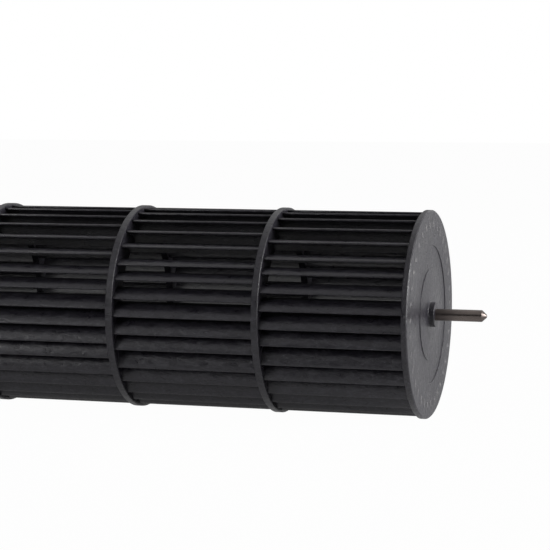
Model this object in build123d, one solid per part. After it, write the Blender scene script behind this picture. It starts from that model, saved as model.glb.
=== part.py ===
from build123d import *
import math
import os

# Cross flow fan wheel for an air conditioner's indoor unit.
# Millimetres and degrees. The wheel's axis is X, the bearing pin points along +X, and Z is up.
# X = 0 is the outer face of the motor-end disc, where the shaft bore starts.
# Angles go round the axis from +Y towards +Z, which is also the way the wheel turns in use.

# Drum
bay_count = 10                  # rows of blades along the drum
ring_diameter = 106.0           # rings and end discs
ring_bore = 78.0                # open middle of each ring
ring_thickness = 3.6
rim_chamfer = 0.3               # broken edge of every ring's rim
disc_rim_chamfer = 0.5          # and of both end discs' rims
segment_turn = 5.7              # each segment is turned this far on from its neighbour towards the pin

# Blades
blade_tip_inset = 1.0           # outer edges lie this far inside the rims
blade_inner_inset = 0.5         # inner edges lie this far outside the rings' bores
blade_reach = 74.4              # length of a blade from the face that it grows from
blade_edge = 1.1                # thickness at both edges
blade_middle = 1.5              # thickness half way along the section
outer_blade_angle = 28.0        # between the blade and the tip circle
inner_blade_angle = 90.0        # between the blade and the inner circle
first_blade = 100.3             # outer edge of the first blade in the row next to the pin disc
blade_steps = [                 # uneven steps from one blade to the next, which spread the tone
    10.4, 11.0, 11.5, 12.0, 9.1, 10.8, 10.0, 10.1, 9.4, 11.9, 10.7, 11.4,
    10.3, 11.0, 9.2, 10.4, 9.0, 11.3, 9.6, 9.1, 10.7, 9.4, 11.6, 9.8,
    9.0, 10.2, 9.5, 11.1, 9.3, 10.6, 9.0, 10.9, 9.7, 10.3, 10.7,
]

# Blade tips stand in welded sockets
ring_socket = 1.0               # depth in a ring
disc_socket = 2.0               # depth in the pin-end disc
socket_clearance = 0.1          # all round a blade tip

# End discs
motor_disc_thickness = 3.2
pin_disc_thickness = 3.2
face_recess_diameter = 70.8     # shallow annular recess in both outer faces
face_centre_diameter = 46.6     # raised middle inside that recess
face_recess = 0.4               # its depth

# Bearing pin and its seat
pin_diameter = 6.0
pin_exposed = 26.0              # from the collar to the end of the pin
pin_tip = 3.0                   # length of the conical tip
pin_tip_diameter = 2.4
pin_embedded = 13.5             # knurled part, inside the disc and its boss
pin_knurl_height = 0.2          # the knurl stands this far above the pin, on the radius
pin_groove_depth = 0.7          # below the knurl; keeps the pin in the moulding
pin_groove_width = 2.0
collar_diameter = 12.6
collar_height = 3.0
collar_chamfer = 0.3
pin_boss_diameter = 17.0
pin_boss_height = 11.0

# Motor hub, rubber damper and clamp screw
hub_bore = 8.0                  # motor shaft
hub_bore_chamfer = 0.6          # both mouths; the outer one stands proud of the disc
hub_sleeve_diameter = 17.0
hub_length = 30.0               # inwards from the disc's outer face
hub_flange_thickness = 2.0
damper_start = 1.0              # distance in from the disc's outer face
damper_length = 12.0
damper_diameter = 38.0
damper_over_flange = 4.6        # rubber outside the corners of the hub's hexagonal flange
damper_waist = 2.4              # depth of the annular hollow in both of its faces
damper_waist_wall = 2.5         # rubber left beside that hollow
damper_lip = 1.5                # rib of the seat that stands into the rubber
damper_lip_width = 2.0
seat_wall = 4.3                 # of the seat, round the damper
seat_end = 14.0                 # inner end of the damper's seat, from the outer face
screw_diameter = 6.0
screw_clearance = 0.05          # on the radius, in the tapped hole
screw_place = 23.0              # distance of the screw from the disc's outer face
screw_shank = 8.0
screw_standoff = 0.3            # how far the screw's tip is backed out of the bore
screw_head_diameter = 10.0
screw_head_height = 6.0
screw_socket_across_flats = 5.0
screw_socket_depth = 3.0
screw_gap_blade = 9             # blade of the first row, counted from 0, left out for the screwdriver
mould_clearance = 0.02          # between an insert and what is moulded round it

# Worked out from the above
ring_radius = ring_diameter / 2
tip_radius = ring_radius - blade_tip_inset
inner_radius = ring_bore / 2 + blade_inner_inset
bay_length = blade_reach - ring_socket
bay_pitch = bay_length + ring_thickness
first_ring = motor_disc_thickness + bay_length
pin_disc_inner = first_ring + (bay_count - 2) * bay_pitch + ring_thickness + blade_reach - disc_socket
pin_disc_outer = pin_disc_inner + pin_disc_thickness
collar_face = pin_disc_outer + collar_height
damper_middle = damper_start + damper_length / 2
flange_corner_radius = damper_diameter / 2 - damper_over_flange


def turned(outline):
    """The solid that an outline of (distance along the axis, radius) points sweeps round the axis."""
    return revolve(make_face(Polyline(*outline, close=True)), Axis.X)


def blade_section(clearance=0.0):
    """One blade across the axis, with its outer edge at angle 0, grown by a clearance."""
    outer_lean = math.radians(90 - outer_blade_angle)
    camber_outer = tip_radius - blade_edge / 2 * math.sin(outer_lean)
    rise = camber_outer * math.sin(outer_lean) - inner_radius * math.cos(math.radians(inner_blade_angle))
    camber_radius = (camber_outer**2 - inner_radius**2) / (2 * rise)
    centre = Vector(camber_outer - camber_radius * math.sin(outer_lean), camber_radius * math.cos(outer_lean))
    reach = (inner_radius**2 - centre.length**2 - camber_radius**2) / (2 * camber_radius * centre.length)
    inner_lean = math.atan2(centre.Y, centre.X) + math.asin(reach)

    def beside(lean, thickness):
        """Points on the hollow and the bulging side where the blade leans this far."""
        towards_centre = Vector(-math.sin(lean), math.cos(lean))
        return [centre - towards_centre * (camber_radius + side * thickness / 2) for side in (-1, 1)]

    hollow, bulge = zip(
        beside(inner_lean, blade_edge),
        beside((inner_lean + outer_lean) / 2, blade_middle),
        beside(outer_lean, blade_edge),
    )
    outline = [
        ThreePointArc(*hollow),
        Line(hollow[2], bulge[2]),
        ThreePointArc(*bulge),
        Line(bulge[0], hollow[0]),
    ]
    section = make_face(outline)
    return offset(section, clearance, kind=Kind.INTERSECTION) if clearance else section


def blade_angles(bay):
    """Where the outer edges of a row's blades lie, for bay 1 at the motor end to bay_count."""
    angle = first_blade + segment_turn * (bay_count - bay)
    angles = []
    for step in blade_steps:
        angles.append(angle)
        angle += step * 360 / sum(blade_steps)
    return angles


def blade_row(section, angles, start, length):
    """A row of equal prisms along the axis, one at each angle."""
    plane = Plane.YZ.offset(start)
    return [extrude(plane * Rot(Z=angle) * section, length) for angle in angles]


def ring(start):
    """A ring with broken rim edges, its near face at start."""
    end = start + ring_thickness
    return turned([
        (start, ring_bore / 2),
        (start, ring_radius - rim_chamfer),
        (start + rim_chamfer, ring_radius),
        (end - rim_chamfer, ring_radius),
        (end, ring_radius - rim_chamfer),
        (end, ring_bore / 2),
    ])


def blade_segment(bay):
    """A ring with the row of blades that grows from it, and sockets for the tips of the row before."""
    start = first_ring + (bay - 2) * bay_pitch
    sockets = blade_row(blade_section(socket_clearance), blade_angles(bay - 1), start, ring_socket)
    blades = blade_row(blade_section(), blade_angles(bay), start + ring_thickness, blade_reach)
    return ring(start) - sockets + blades


def motor_end_segment():
    """The motor-end disc, the damper's seat and the first row of blades, in one moulding."""
    seat_radius = damper_diameter / 2 + mould_clearance
    lip_radius = seat_radius - damper_lip
    lip_start = damper_middle - damper_lip_width / 2
    lip_end = damper_middle + damper_lip_width / 2
    disc = turned([
        (0, seat_radius),
        (0, face_centre_diameter / 2),
        (face_recess, face_centre_diameter / 2),
        (face_recess, face_recess_diameter / 2),
        (0, face_recess_diameter / 2),
        (0, ring_radius - disc_rim_chamfer),
        (disc_rim_chamfer, ring_radius),
        (motor_disc_thickness - disc_rim_chamfer, ring_radius),
        (motor_disc_thickness, ring_radius - disc_rim_chamfer),
        (motor_disc_thickness, seat_radius + seat_wall),
        (seat_end, seat_radius + seat_wall),
        (seat_end, seat_radius),
        (lip_end, seat_radius),
        (lip_end, lip_radius),
        (lip_start, lip_radius),
        (lip_start, seat_radius),
    ])
    angles = blade_angles(1)
    del angles[screw_gap_blade]
    return disc + blade_row(blade_section(), angles, motor_disc_thickness, blade_reach)


def pin_profile(clearance=0.0):
    """Outline of the pin, or of its seat when grown by a clearance."""
    radius = pin_diameter / 2 + clearance
    knurl = radius + pin_knurl_height
    groove = knurl - pin_groove_depth
    start = collar_face - pin_embedded
    groove_start = start + (pin_embedded - pin_groove_width) / 2 + clearance
    groove_end = start + (pin_embedded + pin_groove_width) / 2 - clearance
    end = collar_face + pin_exposed
    return [
        (start - clearance, 0),
        (start - clearance, knurl),
        (groove_start, knurl),
        (groove_start, groove),
        (groove_end, groove),
        (groove_end, knurl),
        (collar_face + clearance, knurl),
        (collar_face + clearance, radius),
        (end - pin_tip, radius),
        (end, pin_tip_diameter / 2),
        (end, 0),
    ]


def bearing_pin():
    """Steel pin with a knurled and grooved foot and a conical tip."""
    return turned(pin_profile())


def pin_end_disc():
    """Closing disc with a recessed face, the pin's collar and boss, and sockets for the last row."""
    recessed = pin_disc_outer - face_recess
    disc = turned([
        (pin_disc_inner - pin_boss_height, 0),
        (pin_disc_inner - pin_boss_height, pin_boss_diameter / 2),
        (pin_disc_inner, pin_boss_diameter / 2),
        (pin_disc_inner, ring_radius - disc_rim_chamfer),
        (pin_disc_inner + disc_rim_chamfer, ring_radius),
        (pin_disc_outer - disc_rim_chamfer, ring_radius),
        (pin_disc_outer, ring_radius - disc_rim_chamfer),
        (pin_disc_outer, face_recess_diameter / 2),
        (recessed, face_recess_diameter / 2),
        (recessed, face_centre_diameter / 2),
        (pin_disc_outer, face_centre_diameter / 2),
        (pin_disc_outer, collar_diameter / 2),
        (collar_face - collar_chamfer, collar_diameter / 2),
        (collar_face, collar_diameter / 2 - collar_chamfer),
        (collar_face, 0),
    ])
    section = blade_section(socket_clearance)
    sockets = blade_row(section, blade_angles(bay_count), pin_disc_inner, disc_socket)
    return disc - turned(pin_profile(mould_clearance)) - sockets


def hub_flange(clearance=0.0):
    """The hexagonal flange that the rubber holds, or its place in the rubber."""
    thickness = hub_flange_thickness + 2 * clearance
    plane = Plane.YZ.offset(damper_middle - thickness / 2)
    hexagon = offset(RegularPolygon(flange_corner_radius, 6), clearance, kind=Kind.INTERSECTION)
    return extrude(plane * hexagon, thickness)


def blade_sweep():
    """How far round the axis a blade's inner edge lies behind its outer edge."""
    corners = blade_section().vertices()
    inner_edge = min(corners, key=lambda corner: math.hypot(corner.X, corner.Y))
    return -math.degrees(math.atan2(inner_edge.Y, inner_edge.X))


def screw_axis_angle():
    """The middle of the clear way between the two blades that the screwdriver passes."""
    angles = blade_angles(1)
    return (angles[screw_gap_blade - 1] + angles[screw_gap_blade + 1] - blade_sweep()) / 2


def across_hub(radius, start, length):
    """A rod along the clamp screw's axis, from a distance off the wheel's axis outwards."""
    rod = Pos(screw_place, 0, 0) * Rot(X=screw_axis_angle() - 90) * Pos(0, 0, start)
    return rod * Cylinder(radius, length, align=(Align.CENTER, Align.CENTER, Align.MIN))


def motor_hub():
    """Metal sleeve with the shaft bore, the flange and the tapped hole for the clamp screw."""
    sleeve_radius = hub_sleeve_diameter / 2
    mouth = hub_bore / 2 + hub_bore_chamfer
    sleeve = turned([
        (-hub_bore_chamfer, mouth),
        (-hub_bore_chamfer, sleeve_radius),
        (hub_length, sleeve_radius),
        (hub_length, mouth),
        (hub_length - hub_bore_chamfer, hub_bore / 2),
        (0, hub_bore / 2),
    ])
    flange = hub_flange() - turned([(0, 0), (0, hub_bore / 2), (hub_length, hub_bore / 2), (hub_length, 0)])
    tapped_hole = across_hub(screw_diameter / 2 + screw_clearance, 0, sleeve_radius + 1)
    return sleeve + flange - tapped_hole


def rubber_damper():
    """Rubber ring between the seat and the hub, waisted on both faces so that it gives."""
    sleeve_radius = hub_sleeve_diameter / 2 + mould_clearance
    outer = damper_diameter / 2
    end = damper_start + damper_length
    lip_radius = outer - damper_lip
    lip_start = damper_middle - damper_lip_width / 2 - mould_clearance
    lip_end = damper_middle + damper_lip_width / 2 + mould_clearance
    hollow_inner = sleeve_radius + damper_waist_wall
    hollow_outer = outer - damper_waist_wall
    body = turned([
        (damper_start, sleeve_radius),
        (damper_start, hollow_inner),
        (damper_start + damper_waist, hollow_inner),
        (damper_start + damper_waist, hollow_outer),
        (damper_start, hollow_outer),
        (damper_start, outer),
        (lip_start, outer),
        (lip_start, lip_radius),
        (lip_end, lip_radius),
        (lip_end, outer),
        (end, outer),
        (end, hollow_outer),
        (end - damper_waist, hollow_outer),
        (end - damper_waist, hollow_inner),
        (end, hollow_inner),
        (end, sleeve_radius),
    ])
    return body - hub_flange(mould_clearance)


def clamp_screw():
    """Socket-head screw in the hub, backed out just clear of the bore."""
    tip = hub_bore / 2 + screw_standoff
    shank = across_hub(screw_diameter / 2, tip, screw_shank)
    head = across_hub(screw_head_diameter / 2, tip + screw_shank, screw_head_height)
    top = tip + screw_shank + screw_head_height
    hexagon = RegularPolygon(screw_socket_across_flats / 2, 6, major_radius=False)
    place = Pos(screw_place, 0, 0) * Rot(X=screw_axis_angle() - 90) * Pos(0, 0, top - screw_socket_depth)
    return shank + head - place * extrude(hexagon, screw_socket_depth)


def write(node, part):
    export_step(part, os.path.join("parts", node + ".step"))


os.makedirs("parts", exist_ok=True)
write("motor_end_segment", motor_end_segment())
for bay in range(2, bay_count + 1):
    write(f"blade_segment_{bay:02d}", blade_segment(bay))
write("pin_end_disc", pin_end_disc())
write("bearing_pin", bearing_pin())
write("motor_hub", motor_hub())
write("rubber_damper", rubber_damper())
write("clamp_screw", clamp_screw())
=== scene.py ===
"""Looks for a cross flow fan wheel: pieces, finishes and a studio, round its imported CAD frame."""
import math

import bpy
from bpy.props import FloatProperty, FloatVectorProperty, IntProperty, PointerProperty
from mathutils import Matrix, Vector


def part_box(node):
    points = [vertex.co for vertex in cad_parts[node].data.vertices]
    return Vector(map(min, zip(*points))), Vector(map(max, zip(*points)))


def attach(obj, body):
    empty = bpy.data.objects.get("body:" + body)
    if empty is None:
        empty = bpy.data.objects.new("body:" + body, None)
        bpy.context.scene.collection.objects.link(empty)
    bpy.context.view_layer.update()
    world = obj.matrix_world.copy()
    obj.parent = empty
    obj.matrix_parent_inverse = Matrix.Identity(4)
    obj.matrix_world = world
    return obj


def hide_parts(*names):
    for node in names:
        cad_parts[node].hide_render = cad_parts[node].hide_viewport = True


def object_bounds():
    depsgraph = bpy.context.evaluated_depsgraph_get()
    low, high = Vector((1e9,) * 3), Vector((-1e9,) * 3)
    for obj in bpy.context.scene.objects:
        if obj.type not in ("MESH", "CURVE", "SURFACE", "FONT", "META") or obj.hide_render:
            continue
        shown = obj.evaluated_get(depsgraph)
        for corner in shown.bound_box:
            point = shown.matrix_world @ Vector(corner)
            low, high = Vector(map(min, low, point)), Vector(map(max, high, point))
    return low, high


bl_info = {
    "name": "Cross flow fan wheel",
    "version": (1, 0, 0),
    "blender": (4, 5, 0),
    "location": "3D View > Sidebar > Fan wheel",
    "description": "Builds the pieces, finishes and studio of a cross flow fan wheel",
    "category": "Object",
}

MM = 0.001
BODY = "root"
FIRST_BAY, LAST_BAY = 2, 10
AXIS = (1, 0, 0)
ORIGIN = (0, 0, 0)
TOUCHING = 1e-6    # metres within which two points are one
CHAMFER = 1        # segments across a flat broken edge
ROUND = 4          # segments across a rounded one
LAMP_AIM = 0.15    # metres inside the pin end at which the lamps point

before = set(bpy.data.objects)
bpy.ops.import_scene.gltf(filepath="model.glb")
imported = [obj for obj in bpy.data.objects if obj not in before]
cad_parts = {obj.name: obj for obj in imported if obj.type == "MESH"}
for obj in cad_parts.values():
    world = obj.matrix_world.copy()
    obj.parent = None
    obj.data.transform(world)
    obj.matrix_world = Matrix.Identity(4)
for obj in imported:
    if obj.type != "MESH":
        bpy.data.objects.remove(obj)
cad_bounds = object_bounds()
RING_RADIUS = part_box("blade_segment_02")[1].y
# The pin-end disc's outer face lies a collar's height inside the end of its node.
PIN_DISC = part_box("pin_end_disc")


# ---------------------------------------------------------------- sizes and colours

class WheelSizes(bpy.types.PropertyGroup):
    """Sizes of the wheel's pieces."""

    tip_radius: FloatProperty(name="Blade tip radius", description="To the blades' outer edges",
                              default=52 * MM, subtype="DISTANCE", unit="LENGTH")
    inner_radius: FloatProperty(name="Blade inner radius", description="To the blades' inner edges",
                                default=39.5 * MM, subtype="DISTANCE", unit="LENGTH")
    blade_edge: FloatProperty(name="Blade edge", description="Thickness at both edges of a blade",
                              default=1.1 * MM, subtype="DISTANCE", unit="LENGTH")
    blade_middle: FloatProperty(name="Blade middle",
                                description="Thickness half way across a blade",
                                default=1.5 * MM, subtype="DISTANCE", unit="LENGTH")
    blade_round: FloatProperty(name="Blade edge rounding",
                               description="Radius on a blade's long corners",
                               default=0.42 * MM, subtype="DISTANCE", unit="LENGTH")
    blade_lean: FloatProperty(name="Blade lean",
                              description="Between a blade's outer end and the radius",
                              default=math.radians(62), subtype="ANGLE", unit="ROTATION")
    segment_turn: FloatProperty(name="Segment turn",
                                description="From each segment to the one before it",
                                default=math.radians(5.7), subtype="ANGLE", unit="ROTATION")
    ring_bore: FloatProperty(name="Ring bore", description="Radius of a ring's open middle",
                             default=39 * MM, subtype="DISTANCE", unit="LENGTH")
    ring_thickness: FloatProperty(name="Ring thickness", description="Along the axis",
                                  default=3.6 * MM, subtype="DISTANCE", unit="LENGTH")
    ring_chamfer: FloatProperty(name="Ring rim chamfer",
                                description="Broken edge of the rings' rims",
                              default=0.3 * MM, subtype="DISTANCE", unit="LENGTH")
    disc_thickness: FloatProperty(name="Disc thickness", description="Of both end discs",
                                  default=3.2 * MM, subtype="DISTANCE", unit="LENGTH")
    disc_chamfer: FloatProperty(name="Disc rim chamfer",
                                description="Broken edge of the end discs' rims",
                              default=0.5 * MM, subtype="DISTANCE", unit="LENGTH")
    recess_outer: FloatProperty(name="Recess outer radius",
                                description="Of the shallow recess in a disc's face",
                                default=35.4 * MM, subtype="DISTANCE", unit="LENGTH")
    recess_inner: FloatProperty(name="Recess inner radius",
                                description="Of the raised middle in that recess",
                                default=23.3 * MM, subtype="DISTANCE", unit="LENGTH")
    recess_depth: FloatProperty(name="Recess depth", description="Below the disc's face",
                                default=0.4 * MM, subtype="DISTANCE", unit="LENGTH")
    collar_height: FloatProperty(name="Collar height",
                                 description="Of the pin's collar above the disc's face",
                                 default=3 * MM, subtype="DISTANCE", unit="LENGTH")
    collar_radius: FloatProperty(name="Collar radius", description="Of the pin's collar",
                                 default=6.3 * MM, subtype="DISTANCE", unit="LENGTH")
    boss_radius: FloatProperty(name="Boss radius",
                               description="Of the boss behind the pin-end disc",
                               default=8.5 * MM, subtype="DISTANCE", unit="LENGTH")
    pin_radius: FloatProperty(name="Pin radius", description="Of the bearing pin",
                              default=3 * MM, subtype="DISTANCE", unit="LENGTH")
    pin_knurl: FloatProperty(name="Pin foot radius",
                             description="Of the moulded-in foot, over a knurl that is left plain",
                             default=3.2 * MM, subtype="DISTANCE", unit="LENGTH")
    pin_groove: FloatProperty(name="Pin groove radius",
                              description="At the bottom of the foot's groove",
                              default=2.5 * MM, subtype="DISTANCE", unit="LENGTH")
    pin_tip: FloatProperty(name="Pin tip", description="Length of the pin's conical tip",
                           default=2.5 * MM, subtype="DISTANCE", unit="LENGTH")
    pin_tip_radius: FloatProperty(name="Pin tip radius", description="At the small end of the cone",
                                  default=0.7 * MM, subtype="DISTANCE", unit="LENGTH")
    fit: FloatProperty(name="Moulding clearance",
                       description="Between an insert and what is moulded round it",
                       default=0.02 * MM, subtype="DISTANCE", unit="LENGTH")
    weld_inner: FloatProperty(name="Weld mark inner radius",
                              description="Where a blade's weld mark starts",
                              default=43.8 * MM, subtype="DISTANCE", unit="LENGTH")
    weld_outer: FloatProperty(name="Weld mark outer radius",
                              description="Where a blade's weld mark ends",
                              default=47.4 * MM, subtype="DISTANCE", unit="LENGTH")
    weld_width: FloatProperty(name="Weld mark width", description="Across a blade's weld mark",
                              default=1.8 * MM, subtype="DISTANCE", unit="LENGTH")
    weld_height: FloatProperty(name="Weld mark height",
                               description="How far a weld mark stands off the disc",
                               default=0.05 * MM, subtype="DISTANCE", unit="LENGTH")
    edge_ease: FloatProperty(name="Eased edge",
                             description="Radius on small moulded edges and steps",
                             default=0.12 * MM, subtype="DISTANCE", unit="LENGTH")
    bore_ease: FloatProperty(name="Eased bore",
                             description="Radius on the edges of a ring's open middle",
                             default=0.2 * MM, subtype="DISTANCE", unit="LENGTH")
    corner_fillet: FloatProperty(name="Corner fillet",
                                 description="Radius where a boss or a damper seat meets its disc",
                                 default=1 * MM, subtype="DISTANCE", unit="LENGTH")
    boss_round: FloatProperty(name="Boss rounding",
                              description="Radius at the collar's foot and round a boss",
                              default=0.4 * MM, subtype="DISTANCE", unit="LENGTH")
    collar_round: FloatProperty(name="Collar rounding",
                                description="Radius on the collar's edge and in the seat's mouth",
                                default=0.3 * MM, subtype="DISTANCE", unit="LENGTH")
    pin_shoulder_round: FloatProperty(name="Pin shoulder rounding",
                                      description="Radius where the cone starts",
                                      default=0.25 * MM, subtype="DISTANCE", unit="LENGTH")
    pin_tip_round: FloatProperty(name="Pin tip rounding",
                                 description="Radius at the small end of the cone",
                                 default=0.3 * MM, subtype="DISTANCE", unit="LENGTH")
    groove_width: FloatProperty(name="Lock groove width",
                                description="Of the pin foot's groove and the seat's rib",
                                default=2 * MM, subtype="DISTANCE", unit="LENGTH")
    seat_end: FloatProperty(name="Damper seat end",
                            description="From the motor-end disc's face along the axis",
                            default=14 * MM, subtype="DISTANCE", unit="LENGTH")
    rib_height: FloatProperty(name="Damper rib height",
                              description="Of the seat's rib in the damper's groove",
                              default=1.5 * MM, subtype="DISTANCE", unit="LENGTH")
    hub_radius: FloatProperty(name="Hub sleeve radius",
                              description="Of the metal sleeve inside the damper",
                              default=8.5 * MM, subtype="DISTANCE", unit="LENGTH")
    damper_wall: FloatProperty(name="Damper wall",
                               description="Of the rubber at the hub and at the seat",
                               default=2.5 * MM, subtype="DISTANCE", unit="LENGTH")
    damper_waist: FloatProperty(name="Damper waist",
                                description="Depth of the hollow in each of its faces",
                                default=2.4 * MM, subtype="DISTANCE", unit="LENGTH")
    damper_edge: FloatProperty(name="Damper edge", description="Radius on the rubber's outer edges",
                               default=0.5 * MM, subtype="DISTANCE", unit="LENGTH")
    damper_hollow: FloatProperty(name="Damper hollow",
                                 description="Radius in the bottom of its hollows",
                                 default=0.9 * MM, subtype="DISTANCE", unit="LENGTH")
    root_overlap: FloatProperty(name="Root overlap",
                                description="How far blades reach into what they grow from",
                                default=0.1 * MM, subtype="DISTANCE", unit="LENGTH")
    camber_steps: IntProperty(name="Camber steps",
                              description="Facets across a blade", default=10, min=4, max=40)
    turn_steps: IntProperty(name="Turn steps", description="Facets round a turned piece",
                            default=144, min=24, max=360)
    pin_steps: IntProperty(name="Pin steps",
                           description="Facets round the pin", default=96, min=24, max=360)


class WheelFinishes(bpy.types.PropertyGroup):
    """Colours of the wheel's materials."""

    plastic: FloatVectorProperty(name="Drum plastic", description="Black glass-filled plastic",
                                 default=(0.018, 0.0165, 0.0225), size=3,
                                 min=0, max=1, subtype="COLOR")
    # Also the colour that the plastic's painted sheen patches are mixed towards.
    fibre: FloatVectorProperty(name="Glass fibre",
                               description="Pale flecks of fibre near the surface",
                               default=(0.085, 0.082, 0.097), size=3, min=0, max=1, subtype="COLOR")
    # Set darker than bare steel: besides its brown tone, this colour is painted shade for the dim
    # room the pin mirrors.
    steel: FloatVectorProperty(name="Pin steel", description="Ground steel of the bearing pin",
                               default=(0.17, 0.145, 0.135), size=3, min=0, max=1, subtype="COLOR")
    # Pale colour of the raised pads over the blades' ends.
    weld: FloatVectorProperty(name="Weld mark",
                              description="Plastic whitened where a blade is welded on",
                              default=(0.19, 0.185, 0.18), size=3, min=0, max=1, subtype="COLOR")
    zinc: FloatVectorProperty(name="Hub metal", description="Die-cast metal of the motor hub",
                              default=(0.5, 0.5, 0.51), size=3, min=0, max=1, subtype="COLOR")
    rubber: FloatVectorProperty(name="Damper rubber", description="Black moulded rubber",
                                default=(0.016, 0.016, 0.017), size=3,
                                min=0, max=1, subtype="COLOR")
    oxide: FloatVectorProperty(name="Screw finish", description="Black oxide on the clamp screw",
                               default=(0.05, 0.05, 0.055), size=3, min=0, max=1, subtype="COLOR")


class StudioSettings(bpy.types.PropertyGroup):
    """The camera, the lamps and the floor."""

    camera_place: FloatVectorProperty(name="Camera", description="Where the camera stands",
                                      default=(0.99432, -1.00644, 0.11065), size=3,
                                      subtype="TRANSLATION")
    camera_yaw: FloatProperty(name="Yaw", description="Turn of the camera from +Y towards -X",
                              default=0.2942, subtype="ANGLE", unit="ROTATION")
    camera_pitch: FloatProperty(name="Pitch", description="How far the camera looks down",
                                default=0.0879, subtype="ANGLE", unit="ROTATION")
    lens: FloatProperty(name="Lens",
                        description="Focal length in mm on a 36 mm sensor", default=133.4)
    right: FloatProperty(name="Right lamp", description="Power of the big lamp beyond the pin end",
                         default=37.0, unit="POWER")
    left: FloatProperty(name="Left lamp", description="Power of the lamp in front on the left",
                        default=10.0, unit="POWER")
    back: FloatProperty(name="Back lamp", description="Power of the lamp behind the drum",
                        default=1.8, unit="POWER")
    ambient: FloatProperty(name="Ambient",
                           description="Strength of the room's own light", default=0.02)
    overhead: FloatProperty(name="Overhead gloss",
                            description="How bright the room overhead looks in gloss",
                            default=0.6, min=0, max=1, subtype="FACTOR")
    behind: FloatProperty(name="Backdrop gloss",
                          description="How bright the room behind the drum looks in gloss",
                          default=0.25, min=0, max=1, subtype="FACTOR")
    floor_gloss: FloatProperty(name="Floor gloss", description="How white the floor looks in gloss",
                               default=0.4, min=0, max=1, subtype="FACTOR")
    shadow: FloatProperty(name="Floor shadow",
                          description="How much of its shadow the pale floor shows",
                          default=0.02, min=0, max=1, subtype="FACTOR")


# ---------------------------------------------------------------- modelling

def deselect():
    """Leave edit mode with nothing selected."""
    if bpy.context.mode != "OBJECT":
        bpy.ops.object.mode_set(mode="OBJECT")
    bpy.ops.object.select_all(action="DESELECT")


def edit(piece):
    """Open one piece in edit mode with nothing selected in it."""
    deselect()
    piece.select_set(True)
    bpy.context.view_layer.objects.active = piece
    bpy.ops.object.mode_set(mode="EDIT")
    bpy.ops.mesh.select_mode(type="VERT")
    bpy.ops.mesh.select_all(action="DESELECT")


def pick(piece, test, kind="VERT"):
    """Select the vertices, edges or faces of the open piece that pass a test of their middle."""
    bpy.ops.object.mode_set(mode="OBJECT")
    mesh = piece.data
    for group in (mesh.vertices, mesh.edges, mesh.polygons):
        for element in group:
            element.select = False
    if kind == "VERT":
        for vertex in mesh.vertices:
            vertex.select = test(vertex.co)
    elif kind == "EDGE":
        for line in mesh.edges:
            ends = [mesh.vertices[index].co for index in line.vertices]
            line.select = test(ends[0], ends[1])
    else:
        for face in mesh.polygons:
            face.select = test(face.center, face.normal)
    bpy.ops.object.mode_set(mode="EDIT")
    bpy.ops.mesh.select_mode(type=kind)


def close_up(piece):
    """Merge doubles, turn every face outwards and leave edit mode."""
    bpy.ops.mesh.select_mode(type="VERT")
    bpy.ops.mesh.select_all(action="SELECT")
    bpy.ops.mesh.remove_doubles(threshold=TOUCHING)
    bpy.ops.mesh.normals_make_consistent(inside=False)
    deselect()
    return piece


def smooth(piece, angle=32):
    """Shade a piece smooth except across its sharper edges."""
    deselect()
    piece.select_set(True)
    bpy.context.view_layer.objects.active = piece
    bpy.ops.object.shade_smooth_by_angle(angle=math.radians(angle))
    deselect()


def start_point(name, place):
    """A new piece in edit mode that is one selected vertex."""
    deselect()
    bpy.ops.mesh.primitive_plane_add(size=MM, location=ORIGIN)
    piece = bpy.context.active_object
    piece.name = name
    piece.data.name = name
    edit(piece)
    bpy.ops.mesh.select_all(action="SELECT")
    bpy.ops.mesh.merge(type="CENTER")
    bpy.ops.transform.translate(value=place)
    return piece


def turn_profile(name, outline, rounds=(), chamfers=(), steps=None, closed=True):
    """Turn an outline of (along the axis, radius) points round the axis.

    Rounds and chamfers are (corner, size) pairs, where a corner is its place in the outline.
    """
    sizes = bpy.context.scene.wheel_sizes
    piece = start_point(name, (outline[0][0], 0, outline[0][1]))
    for before, after in zip(outline, outline[1:]):
        move = (after[0] - before[0], 0, after[1] - before[1])
        bpy.ops.mesh.extrude_region_move(TRANSFORM_OT_translate={"value": move})
    if closed:
        bpy.ops.mesh.select_all(action="SELECT")
        pick(piece, lambda co: on_point(co, outline[0]) or on_point(co, outline[-1]))
        bpy.ops.mesh.edge_face_add()
    for corners, segments in ((rounds, ROUND), (chamfers, CHAMFER)):
        for corner, size in corners:
            pick(piece, lambda co: on_point(co, outline[corner]))
            bpy.ops.mesh.bevel(offset=size, offset_type="OFFSET", segments=segments,
                               affect="VERTICES")
    bpy.ops.mesh.select_all(action="SELECT")
    bpy.ops.mesh.spin(steps=steps or sizes.turn_steps, angle=math.tau, center=ORIGIN, axis=AXIS)
    return close_up(piece)


def on_point(co, point):
    """Whether a vertex lies on an outline's point."""
    return abs(co.x - point[0]) < TOUCHING and abs(co.z - point[1]) < TOUCHING


def turn_about_axis(angle):
    """Turn what is selected from +Y towards +Z; with no window the operator counts backwards."""
    bpy.ops.transform.rotate(value=-angle, orient_axis="X", center_override=ORIGIN)


def copy_of(piece, name):
    """A copy with its own mesh."""
    deselect()
    piece.select_set(True)
    bpy.context.view_layer.objects.active = piece
    bpy.ops.object.duplicate()
    twin = bpy.context.active_object
    twin.name = name
    twin.data.name = name
    return twin


def move_mesh(piece, turn=0.0, shift=0.0):
    """Turn a piece about the axis and shift it along it, in its mesh."""
    edit(piece)
    bpy.ops.mesh.select_all(action="SELECT")
    if turn:
        turn_about_axis(turn)
    if shift:
        bpy.ops.transform.translate(value=(shift, 0, 0))
    deselect()


def join(pieces, name):
    """Join pieces into the first one."""
    deselect()
    for piece in pieces:
        piece.select_set(True)
    bpy.context.view_layer.objects.active = pieces[0]
    bpy.ops.object.join()
    pieces[0].name = name
    pieces[0].data.name = name
    deselect()
    return pieces[0]


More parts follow.
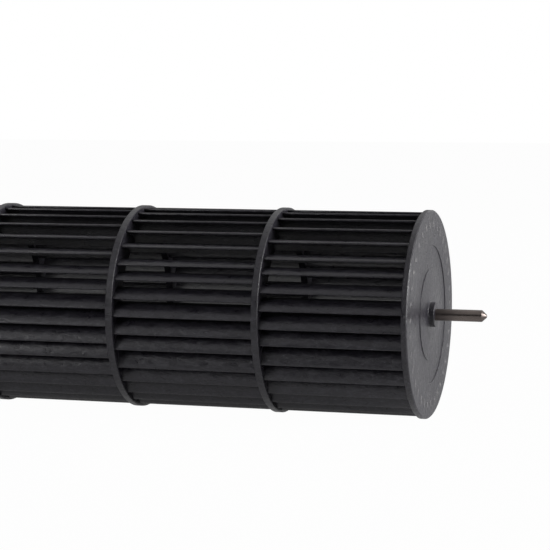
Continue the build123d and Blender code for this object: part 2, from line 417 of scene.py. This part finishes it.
def place_piece(piece, node, slot, *materials):
    """Dress a finished piece, and let it stand for its CAD node."""
    piece.data.materials.clear()
    for material in materials:
        piece.data.materials.append(material)
    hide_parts(node)
    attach(piece, BODY)


# ---------------------------------------------------------------- blades

def camber():
    """Centre and radius of the blade's curve, for a blade whose outer edge is at angle 0."""
    sizes = bpy.context.scene.wheel_sizes
    lean = sizes.blade_lean
    outer = sizes.tip_radius - sizes.blade_edge / 2 * math.sin(lean)
    radius = (outer**2 - sizes.inner_radius**2) / (2 * outer * math.sin(lean))
    return Vector((0, outer - radius * math.sin(lean), radius * math.cos(lean))), radius


def lean_at(distance):
    """How much the blade leans at a distance from the wheel's axis."""
    centre, radius = camber()
    reach = (distance**2 - centre.length**2 - radius**2) / (2 * radius * centre.length)
    return math.atan2(centre.z, centre.y) + math.asin(reach)


def side_point(lean, offset):
    """A point beside the camber line where the blade leans this far."""
    centre, radius = camber()
    return centre - Vector((0, -math.sin(lean), math.cos(lean))) * (radius + offset)


def arc_through(points):
    """Centre of the circle through three points across the axis, and its angle from end to end."""
    first, middle, last = points
    to_middle, to_last = middle - first, last - first
    chords = Matrix(((to_middle.y, to_middle.z), (to_last.y, to_last.z)))
    halves = Vector(((middle.length_squared - first.length_squared) / 2,
                     (last.length_squared - first.length_squared) / 2))
    solved = chords.inverted() @ halves
    centre = Vector((0, solved[0], solved[1]))
    start, end = first - centre, last - centre
    angle = math.atan2(start.y * end.z - start.z * end.y, start.dot(end))
    return centre, angle


def make_blade(name, start, length):
    """One blade with its outer edge at angle 0: two spun sides, then closed and rounded edges."""
    sizes = bpy.context.scene.wheel_sizes
    inner_lean, outer_lean = lean_at(sizes.inner_radius), sizes.blade_lean
    half_edge, half_middle = sizes.blade_edge / 2, sizes.blade_middle / 2
    middle_lean = (inner_lean + outer_lean) / 2
    piece = None
    sides = []
    for side in (-1, 1):
        points = [
            side_point(outer_lean, side * half_edge),
            side_point(middle_lean, side * half_middle),
            side_point(inner_lean, side * half_edge),
        ]
        centre, angle = arc_through(points)
        piece = start_point(name, Vector((start, 0, 0)) + points[0])
        bpy.ops.mesh.extrude_region_move(TRANSFORM_OT_translate={"value": (length, 0, 0)})
        bpy.ops.mesh.select_all(action="SELECT")
        bpy.ops.mesh.spin(steps=sizes.camber_steps, angle=-angle, center=centre, axis=AXIS)
        deselect()
        sides.append(piece)
    piece = join(sides, name)
    edit(piece)
    bpy.ops.mesh.select_all(action="SELECT")
    bpy.ops.mesh.select_mode(type="EDGE")
    bpy.ops.mesh.region_to_loop()
    bpy.ops.mesh.bridge_edge_loops()
    close_up(piece)
    edit(piece)
    corners = [side_point(lean, side * half_edge)
               for lean in (inner_lean, outer_lean) for side in (-1, 1)]

    def long_corner(one, other):
        runs_along = abs(one.x - other.x) > length / 2
        across = Vector((0, one.y, one.z))
        return runs_along and any((across - corner).length < TOUCHING for corner in corners)

    pick(piece, long_corner, "EDGE")
    bpy.ops.mesh.bevel(offset=sizes.blade_round, offset_type="OFFSET", segments=3, affect="EDGES")
    return close_up(piece)


def tip_angles(node):
    """Where a node's blades stand, read from the outer corners of their tips."""
    sizes = bpy.context.scene.wheel_sizes
    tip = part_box(node)[1].x
    corner = side_point(sizes.blade_lean, sizes.blade_edge / 2)
    behind = math.atan2(corner.z, corner.y)
    slack = 0.05 * MM
    angles = set()
    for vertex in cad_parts[node].data.vertices:
        co = vertex.co
        at_tip = tip - co.x < 2 * slack and math.hypot(co.y, co.z) > sizes.tip_radius - slack
        if at_tip:
            angles.add(round(math.atan2(co.z, co.y) - behind, 4))
    return sorted(angles)


def blade_row(name, angles, start, length):
    """A row of blades along the axis, each turned on from the one before."""
    row = make_blade(name, start, length)
    move_mesh(row, turn=angles[0])
    edit(row)
    bpy.ops.mesh.select_all(action="SELECT")
    for before, after in zip(angles, angles[1:]):
        bpy.ops.mesh.duplicate()
        turn_about_axis(after - before)
    deselect()
    return row


def make_ring(name, start):
    """A ring with the edges of its rim broken and those of its bore eased."""
    sizes = bpy.context.scene.wheel_sizes
    end = start + sizes.ring_thickness
    outline = [(start, sizes.ring_bore), (start, RING_RADIUS),
               (end, RING_RADIUS), (end, sizes.ring_bore)]
    rounds = [(0, sizes.bore_ease), (3, sizes.bore_ease)]
    chamfers = [(1, sizes.ring_chamfer), (2, sizes.ring_chamfer)]
    return turn_profile(name, outline, rounds, chamfers)


class FANWHEEL_OT_blade_segments(bpy.types.Operator):
    """Model one blade segment and copy it along the drum"""

    bl_idname = "fanwheel.blade_segments"
    bl_label = "Blade segments"

    def execute(self, context):
        sizes = context.scene.wheel_sizes
        plastic = finish("drum_plastic")
        first_node = f"blade_segment_{FIRST_BAY:02d}"
        low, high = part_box(first_node)
        root = low.x + sizes.ring_thickness - sizes.root_overlap
        row = blade_row("blades", tip_angles(first_node), root, high.x - root)
        ring = make_ring("ring", low.x)
        master = join([ring, row], "blades_ring_02")
        smooth(master)
        made = [master]
        for bay in range(FIRST_BAY + 1, LAST_BAY + 1):
            segment = copy_of(master, f"blades_ring_{bay:02d}")
            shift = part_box(f"blade_segment_{bay:02d}")[0].x - low.x
            move_mesh(segment, turn=-sizes.segment_turn * (bay - FIRST_BAY), shift=shift)
            made.append(segment)
        for bay, segment in enumerate(made, FIRST_BAY):
            place_piece(segment, f"blade_segment_{bay:02d}", "drum_plastic", plastic)
        return {"FINISHED"}


def disc_outline(inner, outer, facing, middle_radius):
    """The recessed outer face and the rim of an end disc, from the middle outwards."""
    sizes = bpy.context.scene.wheel_sizes
    recessed = outer - facing * sizes.recess_depth
    return [
        (outer, middle_radius),
        (outer, sizes.recess_inner),
        (recessed, sizes.recess_inner),
        (recessed, sizes.recess_outer),
        (outer, sizes.recess_outer),
        (outer, RING_RADIUS),
        (inner, RING_RADIUS),
    ]


def pin_foot(clearance=0.0):
    """Outline of the pin's grooved foot, plain at its knurl's outer radius, or of the foot's seat."""
    sizes = bpy.context.scene.wheel_sizes
    inner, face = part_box("bearing_pin")[0].x, PIN_DISC[1].x
    knurl, groove = sizes.pin_knurl + clearance, sizes.pin_groove + clearance
    middle, half_width = (inner + face) / 2, sizes.groove_width / 2 - clearance
    return [
        (inner - clearance, 0), (inner - clearance, knurl),
        (middle - half_width, knurl), (middle - half_width, groove),
        (middle + half_width, groove), (middle + half_width, knurl), (face, knurl),
    ]


def weld_marks(name, face, angles):
    """A low pale pad on the disc's face over the middle of each blade's end."""
    sizes = bpy.context.scene.wheel_sizes
    outer_lean, inner_lean = lean_at(sizes.weld_outer), lean_at(sizes.weld_inner)
    start = side_point(outer_lean, -sizes.weld_width / 2)
    across = side_point(outer_lean, sizes.weld_width / 2) - start
    pad = start_point(name, Vector((face - sizes.weld_height, 0, 0)) + start)
    bpy.ops.mesh.extrude_region_move(TRANSFORM_OT_translate={"value": across})
    bpy.ops.mesh.select_all(action="SELECT")
    bpy.ops.mesh.spin(steps=4, angle=outer_lean - inner_lean, center=camber()[0], axis=AXIS)
    bpy.ops.mesh.select_all(action="SELECT")
    through = (2 * sizes.weld_height, 0, 0)
    bpy.ops.mesh.extrude_region_move(TRANSFORM_OT_translate={"value": through})
    close_up(pad)
    move_mesh(pad, turn=angles[0])
    edit(pad)
    bpy.ops.mesh.select_all(action="SELECT")
    for before, after in zip(angles, angles[1:]):
        bpy.ops.mesh.duplicate()
        turn_about_axis(after - before)
    deselect()
    return pad


class FANWHEEL_OT_pin_end_disc(bpy.types.Operator):
    """Model the closing disc with its recessed face, collar, boss and weld marks"""

    bl_idname = "fanwheel.pin_end_disc"
    bl_label = "Pin-end disc"

    def execute(self, context):
        sizes = context.scene.wheel_sizes
        low, high = PIN_DISC
        outer = high.x - sizes.collar_height
        inner = outer - sizes.disc_thickness
        foot = pin_foot(sizes.fit)
        outline = foot + [(high.x, sizes.collar_radius)]
        outline += disc_outline(inner, outer, 1, sizes.collar_radius)
        outline += [(inner, sizes.boss_radius), (low.x, sizes.boss_radius), (low.x, 0)]
        collar = len(foot)
        rounds = [(collar, sizes.collar_round), (collar + 1, sizes.boss_round)]
        rounds += [(corner, sizes.edge_ease) for corner in range(collar + 2, collar + 6)]
        rounds += [(collar + 8, sizes.corner_fillet), (collar + 9, sizes.boss_round)]
        chamfers = [(collar + 6, sizes.disc_chamfer), (collar + 7, sizes.disc_chamfer)]
        disc = turn_profile("pin_end_disc_piece", outline, rounds, chamfers, closed=False)
        marks = weld_marks("weld_marks", outer, tip_angles(f"blade_segment_{LAST_BAY:02d}"))
        disc = join([disc, marks], "pin_end_disc_piece")
        smooth(disc)
        place_piece(disc, "pin_end_disc", "drum_plastic",
                    finish("disc_plastic"), finish("weld_mark"))
        edit(disc)
        pad_radii = (sizes.weld_inner - sizes.weld_width, sizes.weld_outer + sizes.weld_width)
        pick(disc, lambda centre, normal: centre.x > outer + sizes.weld_height / 2
             and pad_radii[0] < math.hypot(centre.y, centre.z) < pad_radii[1], "FACE")
        disc.active_material_index = 1
        bpy.ops.object.material_slot_assign()
        deselect()
        return {"FINISHED"}


class FANWHEEL_OT_bearing_pin(bpy.types.Operator):
    """Model the steel pin with its grooved foot and conical tip"""

    bl_idname = "fanwheel.bearing_pin"
    bl_label = "Bearing pin"

    def execute(self, context):
        sizes = context.scene.wheel_sizes
        face, end = PIN_DISC[1].x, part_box("bearing_pin")[1].x
        foot = pin_foot()
        outline = foot + [(face, sizes.pin_radius), (end - sizes.pin_tip, sizes.pin_radius),
                          (end, sizes.pin_tip_radius), (end, 0)]
        shoulder = len(foot)
        rounds = [(shoulder + 1, sizes.pin_shoulder_round), (shoulder + 2, sizes.pin_tip_round)]
        pin = turn_profile("bearing_pin_piece", outline, rounds,
                           steps=sizes.pin_steps, closed=False)
        smooth(pin)
        place_piece(pin, "bearing_pin", "pin_steel", finish("pin_steel"))
        return {"FINISHED"}


class FANWHEEL_OT_motor_end(bpy.types.Operator):
    """Model the motor-end disc with the first row of blades"""

    bl_idname = "fanwheel.motor_end"
    bl_label = "Motor end"

    def execute(self, context):
        sizes = context.scene.wheel_sizes
        low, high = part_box("motor_end_segment")
        damper_low, damper_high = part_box("rubber_damper")
        seat = damper_high.y + sizes.fit
        rib = seat - sizes.rib_height
        middle, half_rib = (damper_low.x + damper_high.x) / 2, sizes.groove_width / 2
        inner = low.x + sizes.disc_thickness
        outline = disc_outline(inner, low.x, -1, seat)
        outline += [
            (inner, sizes.recess_inner),
            (sizes.seat_end, sizes.recess_inner), (sizes.seat_end, seat),
            (middle + half_rib, seat), (middle + half_rib, rib),
            (middle - half_rib, rib), (middle - half_rib, seat),
        ]
        rounds = [(corner, sizes.edge_ease) for corner in range(5)]
        rounds += [(7, sizes.corner_fillet), (8, sizes.boss_round), (9, sizes.collar_round)]
        chamfers = [(5, sizes.disc_chamfer), (6, sizes.disc_chamfer)]
        disc = turn_profile("motor_disc", outline, rounds, chamfers)
        root = inner - sizes.root_overlap
        row = blade_row("motor_blades", tip_angles("motor_end_segment"), root, high.x - root)
        piece = join([disc, row], "motor_end_piece")
        smooth(piece)
        place_piece(piece, "motor_end_segment", "drum_plastic", finish("drum_plastic"))
        return {"FINISHED"}


class FANWHEEL_OT_motor_hub(bpy.types.Operator):
    """Model the rubber damper and finish the metal hub and its clamp screw"""

    bl_idname = "fanwheel.motor_hub"
    bl_label = "Motor hub and damper"

    def execute(self, context):
        sizes = context.scene.wheel_sizes
        low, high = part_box("rubber_damper")
        bore, outer = sizes.hub_radius + sizes.fit, high.y
        groove = outer - sizes.rib_height
        middle, half_groove = (low.x + high.x) / 2, sizes.groove_width / 2 + sizes.fit
        waist, wall = sizes.damper_waist, sizes.damper_wall
        outline = [
            (low.x, bore), (low.x, bore + wall), (low.x + waist, bore + wall),
            (low.x + waist, outer - wall), (low.x, outer - wall), (low.x, outer),
            (middle - half_groove, outer), (middle - half_groove, groove),
            (middle + half_groove, groove), (middle + half_groove, outer),
            (high.x, outer), (high.x, outer - wall), (high.x - waist, outer - wall),
            (high.x - waist, bore + wall), (high.x, bore + wall), (high.x, bore),
        ]
        rounds = [(corner, sizes.damper_edge) for corner in (1, 4, 5, 10, 11, 14)]
        rounds += [(corner, sizes.damper_hollow) for corner in (2, 3, 12, 13)]
        damper = turn_profile("rubber_damper_piece", outline, rounds)
        smooth(damper, angle=40)
        place_piece(damper, "rubber_damper", "damper_rubber", finish("damper_rubber"))
        for node, slot in (("motor_hub", "hub_metal"), ("clamp_screw", "screw_steel")):
            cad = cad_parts[node]
            for index in range(len(cad.material_slots)):
                cad.material_slots[index].material = finish(slot)
        return {"FINISHED"}


# ---------------------------------------------------------------- finishes

def arithmetic(tree, operation, one, other):
    """Two values, or a value and a number, put together."""
    node = tree.nodes.new("ShaderNodeMath")
    node.operation = operation
    for socket, value in zip(node.inputs, (one, other)):
        if isinstance(value, (int, float)):
            socket.default_value = value
        else:
            tree.links.new(value, socket)
    return node.outputs["Value"]


class Shader:
    """A material's node tree, with short ways to add what the finishes share."""

    def __init__(self, name):
        self.material = bpy.data.materials.new(name)
        self.material.use_nodes = True
        self.tree = self.material.node_tree
        self.surface = self.tree.nodes["Principled BSDF"]
        self.place = self.add("ShaderNodeTexCoord").outputs["Object"]

    def add(self, kind, **settings):
        node = self.tree.nodes.new(kind)
        for key, value in settings.items():
            setattr(node, key, value)
        return node

    def link(self, source, target):
        self.tree.links.new(source, target)

    def stretched(self, scale, turn=(0, 0, 0)):
        """Object coordinates with their own scale along each axis."""
        mapping = self.add("ShaderNodeMapping")
        mapping.inputs["Scale"].default_value = scale
        mapping.inputs["Rotation"].default_value = turn
        self.link(self.place, mapping.inputs["Vector"])
        return mapping.outputs["Vector"]

    def noise(self, vector, scale, detail=3.0, roughness=0.5, distortion=0.0):
        node = self.add("ShaderNodeTexNoise")
        node.inputs["Scale"].default_value = scale
        node.inputs["Detail"].default_value = detail
        node.inputs["Roughness"].default_value = roughness
        node.inputs["Distortion"].default_value = distortion
        self.link(vector, node.inputs["Vector"])
        return node.outputs["Fac"]

    def ramp(self, value, low, high, start=0.0, end=1.0):
        """Values between low and high spread from start to end."""
        node = self.add("ShaderNodeMapRange")
        node.inputs["From Min"].default_value = low
        node.inputs["From Max"].default_value = high
        node.inputs["To Min"].default_value = start
        node.inputs["To Max"].default_value = end
        self.link(value, node.inputs["Value"])
        return node.outputs["Result"]

    def math(self, operation, one, other):
        return arithmetic(self.tree, operation, one, other)

    def mix(self, factor, one, other):
        node = self.add("ShaderNodeMix", data_type="RGBA")
        self.link(factor, node.inputs["Factor"])
        for index, value in ((6, one), (7, other)):
            if hasattr(value, "is_output"):
                self.link(value, node.inputs[index])
            else:
                node.inputs[index].default_value = (*value, 1)
        return node.outputs[2]

    def bump(self, height, strength, distance, under=None):
        node = self.add("ShaderNodeBump")
        node.inputs["Strength"].default_value = strength
        node.inputs["Distance"].default_value = distance
        self.link(height, node.inputs["Height"])
        if under is not None:
            self.link(under, node.inputs["Normal"])
        return node.outputs["Normal"]


def glass_filled(name, along, relief, fibres):
    """Black glass-filled plastic: a mottled satin skin, fibre flecks, fine grain and painted sheen.

    The flecks lie the way the melt ran. Noise scales are per metre, so 380 gives patches of 2.6 mm.
    """
    finishes = bpy.context.scene.wheel_finishes
    s = Shader(name)
    mottle = s.noise(s.stretched(along), 380, 4, 0.65, 0.7)
    fleck = s.noise(s.stretched(along), 1500, 3, 0.6, 0.5)
    cloud = s.noise(s.place, 70, 4, 0.6, 0.8)
    grain = s.noise(s.place, 3200, 2, 0.5)
    flecks = s.math("MULTIPLY", s.ramp(fleck, 0.55, 0.8), s.ramp(cloud, 0.4, 0.7, 0.3, 1.0))
    # Paler patches where the mottle runs high are painted sheen; the same noise also sets the
    # roughness and the bump.
    patches = s.math("MULTIPLY", s.ramp(mottle, 0.45, 0.75), 0.4)
    flecks_and_painted_sheen = s.math("ADD", s.math("MULTIPLY", flecks, fibres), patches)
    colour = s.mix(flecks_and_painted_sheen, tuple(finishes.plastic), tuple(finishes.fibre))
    s.link(colour, s.surface.inputs["Base Color"])
    s.link(s.ramp(mottle, 0.3, 0.7, 0.24, 0.48), s.surface.inputs["Roughness"])
    s.surface.inputs["Specular IOR Level"].default_value = 0.5
    height = s.math("ADD", s.math("MULTIPLY", fleck, 0.5), s.math("MULTIPLY", grain, 0.5))
    under = s.bump(mottle, 0.5, relief)
    s.link(s.bump(height, 0.35, 0.00006, under), s.surface.inputs["Normal"])
    return s.material


def weld_mark(name):
    """Pale colour over the weld pads, in broken patches."""
    finishes = bpy.context.scene.wheel_finishes
    s = Shader(name)
    broken = s.noise(s.place, 900, 3, 0.6)
    s.link(s.mix(s.ramp(broken, 0.35, 0.65), tuple(finishes.fibre), tuple(finishes.weld)),
           s.surface.inputs["Base Color"])
    s.link(s.ramp(broken, 0.3, 0.7, 0.5, 0.65), s.surface.inputs["Roughness"])
    s.link(s.bump(broken, 0.3, 0.00008), s.surface.inputs["Normal"])
    return s.material


def turned_steel(name):
    """Ground steel, a little brown and darker than bare steel as painted shade: faint rings round the
    pin, soft stains along it.
    """
    finishes = bpy.context.scene.wheel_finishes
    s = Shader(name)
    rings = s.noise(s.stretched((30, 1, 1)), 60, 3, 0.5)
    stain = s.noise(s.stretched((0.3, 1, 1)), 260, 4, 0.6, 0.5)
    # The steel colour here carries painted shade as well as the steel's brown tone.
    plain = tuple(finishes.steel)
    dull = tuple(value * 0.6 for value in plain)
    s.link(s.mix(s.ramp(stain, 0.4, 0.7), plain, dull), s.surface.inputs["Base Color"])
    s.surface.inputs["Metallic"].default_value = 1.0
    s.link(s.ramp(stain, 0.3, 0.7, 0.26, 0.38), s.surface.inputs["Roughness"])
    s.link(s.bump(rings, 0.1, 0.00002), s.surface.inputs["Normal"])
    return s.material


def cast_metal(name):
    """Die-cast hub metal with a soft skin and small pits."""
    finishes = bpy.context.scene.wheel_finishes
    s = Shader(name)
    skin = s.noise(s.place, 420, 5, 0.6)
    pits = s.noise(s.place, 1500, 2, 0.5)
    plain = tuple(finishes.zinc)
    s.link(s.mix(s.ramp(skin, 0.35, 0.75), plain, tuple(value * 0.7 for value in plain)),
           s.surface.inputs["Base Color"])
    s.surface.inputs["Metallic"].default_value = 1.0
    s.link(s.ramp(skin, 0.3, 0.7, 0.34, 0.52), s.surface.inputs["Roughness"])
    s.link(s.bump(pits, 0.3, 0.00005), s.surface.inputs["Normal"])
    return s.material


def moulded_rubber(name):
    """Black rubber with a dusty bloom and a fine matt grain."""
    finishes = bpy.context.scene.wheel_finishes
    s = Shader(name)
    bloom = s.noise(s.place, 130, 5, 0.65, 0.3)
    grain = s.noise(s.place, 2600, 2, 0.5)
    plain = tuple(finishes.rubber)
    dusty = tuple(value + 0.02 for value in plain)
    s.link(s.mix(s.ramp(bloom, 0.45, 0.8), plain, dusty), s.surface.inputs["Base Color"])
    s.link(s.ramp(bloom, 0.3, 0.7, 0.62, 0.8), s.surface.inputs["Roughness"])
    s.surface.inputs["Specular IOR Level"].default_value = 0.35
    s.link(s.bump(grain, 0.3, 0.00005), s.surface.inputs["Normal"])
    return s.material


def black_oxide(name):
    """Black oxide on steel, worn a little paler in patches."""
    finishes = bpy.context.scene.wheel_finishes
    s = Shader(name)
    wear = s.noise(s.place, 500, 4, 0.6)
    plain = tuple(finishes.oxide)
    worn = tuple(value * 3 for value in plain)
    s.link(s.mix(s.ramp(wear, 0.55, 0.75), plain, worn), s.surface.inputs["Base Color"])
    s.surface.inputs["Metallic"].default_value = 0.9
    s.link(s.ramp(wear, 0.3, 0.7, 0.3, 0.45), s.surface.inputs["Roughness"])
    return s.material


def finish(name):
    """A finish by name, made the first time it is asked for."""
    made = bpy.data.materials.get("finish_" + name)
    if made:
        return made
    makers = {
        "drum_plastic": lambda label: glass_filled(label, (0.45, 1, 1), 0.0006, 1.0),
        "disc_plastic": lambda label: glass_filled(label, (1, 1, 0.6), 0.0009, 2.2),
        "weld_mark": weld_mark,
        "pin_steel": turned_steel,
        "hub_metal": cast_metal,
        "damper_rubber": moulded_rubber,
        "screw_steel": black_oxide,
    }
    return makers[name]("finish_" + name)


# ---------------------------------------------------------------- studio

def ray_share(tree, *rays):
    """One for the named kinds of ray, and nought for the rest."""
    path = tree.nodes.new("ShaderNodeLightPath")
    share = path.outputs[rays[0]]
    for ray in rays[1:]:
        share = arithmetic(tree, "MAXIMUM", share, path.outputs[ray])
    return share


def blend_shaders(tree, share, one, other):
    """Two shaders mixed by a share."""
    node = tree.nodes.new("ShaderNodeMixShader")
    tree.links.new(share, node.inputs["Fac"])
    tree.links.new(one, node.inputs[1])
    tree.links.new(other, node.inputs[2])
    return node.outputs["Shader"]


def soft_lamp(name, place, target, side, power):
    """A square area lamp that looks at a point."""
    bpy.ops.object.light_add(type="AREA", location=place)
    lamp = bpy.context.active_object
    lamp.name = name
    lamp.data.shape = "SQUARE"
    lamp.data.size = side
    lamp.data.energy = power
    lamp.rotation_euler = (Vector(target) - Vector(place)).to_track_quat("-Z", "Y").to_euler()
    return lamp


def make_floor(height, shadow, gloss):
    """A pale matt floor: white to the camera bar a share of its shadow, and part white in gloss."""
    deselect()
    bpy.ops.mesh.primitive_plane_add(size=12, location=(0.4, 0, height))
    floor = bpy.context.active_object
    floor.name = "floor"
    paint = bpy.data.materials.new("pale_floor")
    paint.use_nodes = True
    tree = paint.node_tree
    pale = tree.nodes["Principled BSDF"]
    pale.inputs["Base Color"].default_value = (0.85, 0.85, 0.85, 1)
    pale.inputs["Roughness"].default_value = 0.9
    pale.inputs["Specular IOR Level"].default_value = 0.0
    white = tree.nodes.new("ShaderNodeEmission")
    seen = arithmetic(tree, "MULTIPLY", ray_share(tree, "Is Camera Ray"), 1 - shadow)
    reflected = ray_share(tree, "Is Glossy Ray", "Is Transmission Ray")
    mirrored = arithmetic(tree, "MULTIPLY", reflected, gloss)
    share = arithmetic(tree, "MAXIMUM", seen, mirrored)
    mixed = blend_shaders(tree, share, pale.outputs["BSDF"], white.outputs["Emission"])
    tree.links.new(mixed, tree.nodes["Material Output"].inputs["Surface"])
    floor.data.materials.append(paint)
    return floor


def make_room(ambient, overhead, behind):
    """White to the camera, paler overhead and behind the drum to gloss, and dim to the rest."""
    world = bpy.data.worlds.new("studio_room")
    world.use_nodes = True
    tree = world.node_tree
    room = tree.nodes["Background"]
    room.inputs["Color"].default_value = (1, 1, 1, 1)
    room.inputs["Strength"].default_value = ambient
    white = tree.nodes.new("ShaderNodeBackground")
    white.inputs["Color"].default_value = (1, 1, 1, 1)
    backdrop = tree.nodes.new("ShaderNodeBackground")
    backdrop.inputs["Color"].default_value = (1, 1, 1, 1)
    facing = tree.nodes.new("ShaderNodeTexCoord")
    parts = tree.nodes.new("ShaderNodeSeparateXYZ")
    tree.links.new(facing.outputs["Generated"], parts.inputs["Vector"])
    levels = []
    for direction, low, high, level in (("Z", 0.2, 0.7, overhead), ("Y", -0.1, 0.4, behind)):
        spread = tree.nodes.new("ShaderNodeMapRange")
        spread.inputs["From Min"].default_value = low
        spread.inputs["From Max"].default_value = high
        spread.inputs["To Max"].default_value = level
        tree.links.new(parts.outputs[direction], spread.inputs["Value"])
        levels.append(spread.outputs["Result"])
    tree.links.new(arithmetic(tree, "ADD", *levels), backdrop.inputs["Strength"])
    gloss = ray_share(tree, "Is Glossy Ray", "Is Transmission Ray")
    inner = blend_shaders(tree, gloss, room.outputs["Background"], backdrop.outputs["Background"])
    seen = ray_share(tree, "Is Camera Ray")
    outer = blend_shaders(tree, seen, inner, white.outputs["Background"])
    tree.links.new(outer, tree.nodes["World Output"].inputs["Surface"])
    return world


class FANWHEEL_OT_studio(bpy.types.Operator):
    """Set the floor, the room, the lamps and the camera"""

    bl_idname = "fanwheel.studio"
    bl_label = "Studio"

    def execute(self, context):
        studio = context.scene.studio_settings
        scene = context.scene
        scene.view_settings.view_transform = "Standard"
        deselect()
        floor = make_floor(cad_bounds[0].z, studio.shadow, studio.floor_gloss)
        scene.world = make_room(studio.ambient, studio.overhead, studio.behind)

        aim = (PIN_DISC[0].x - LAMP_AIM, 0, 0)
        soft_lamp("right_lamp", place=(2.5, 0.1, 0.5), target=aim, side=1.0, power=studio.right)
        soft_lamp("left_lamp", place=(-0.64, -1.17, 0.54), target=aim, side=0.6, power=studio.left)
        soft_lamp("back_lamp", place=(1.2, 1.6, 0.4), target=aim, side=0.8, power=studio.back)

        camera_data = bpy.data.cameras.new("camera")
        camera = bpy.data.objects.new("camera", camera_data)
        scene.collection.objects.link(camera)
        camera_data.sensor_width = 36
        camera_data.lens = studio.lens
        camera.location = studio.camera_place
        yaw, pitch = studio.camera_yaw, studio.camera_pitch
        camera.rotation_euler = (math.pi / 2 - pitch, 0, yaw)
        scene.camera = camera
        return {"FINISHED"}


# ---------------------------------------------------------------- panel and running order

OPERATORS = (
    FANWHEEL_OT_blade_segments,
    FANWHEEL_OT_motor_end,
    FANWHEEL_OT_motor_hub,
    FANWHEEL_OT_pin_end_disc,
    FANWHEEL_OT_bearing_pin,
    FANWHEEL_OT_studio,
)


class FANWHEEL_PT_panel(bpy.types.Panel):
    """Lists the wheel's pieces and the studio"""

    bl_idname = "FANWHEEL_PT_panel"
    bl_label = "Fan wheel"
    bl_space_type = "VIEW_3D"
    bl_region_type = "UI"
    bl_category = "Fan wheel"

    def draw(self, context):
        layout = self.layout
        for operator in OPERATORS:
            layout.operator(operator.bl_idname)
        scene = context.scene
        for group in (scene.wheel_sizes, scene.wheel_finishes, scene.studio_settings):
            box = layout.box()
            for name in type(group).__annotations__:
                box.prop(group, name)


CLASSES = (WheelSizes, WheelFinishes, StudioSettings, *OPERATORS, FANWHEEL_PT_panel)


def register():
    for cls in CLASSES:
        bpy.utils.register_class(cls)
    bpy.types.Scene.wheel_sizes = PointerProperty(type=WheelSizes)
    bpy.types.Scene.wheel_finishes = PointerProperty(type=WheelFinishes)
    bpy.types.Scene.studio_settings = PointerProperty(type=StudioSettings)


def unregister():
    del bpy.types.Scene.studio_settings
    del bpy.types.Scene.wheel_finishes
    del bpy.types.Scene.wheel_sizes
    for cls in reversed(CLASSES):
        bpy.utils.unregister_class(cls)


def main():
    register()
    bpy.ops.fanwheel.blade_segments()
    bpy.ops.fanwheel.motor_end()
    bpy.ops.fanwheel.motor_hub()
    bpy.ops.fanwheel.pin_end_disc()
    bpy.ops.fanwheel.bearing_pin()
    bpy.ops.fanwheel.studio()


if __name__ == "__main__":
    main()
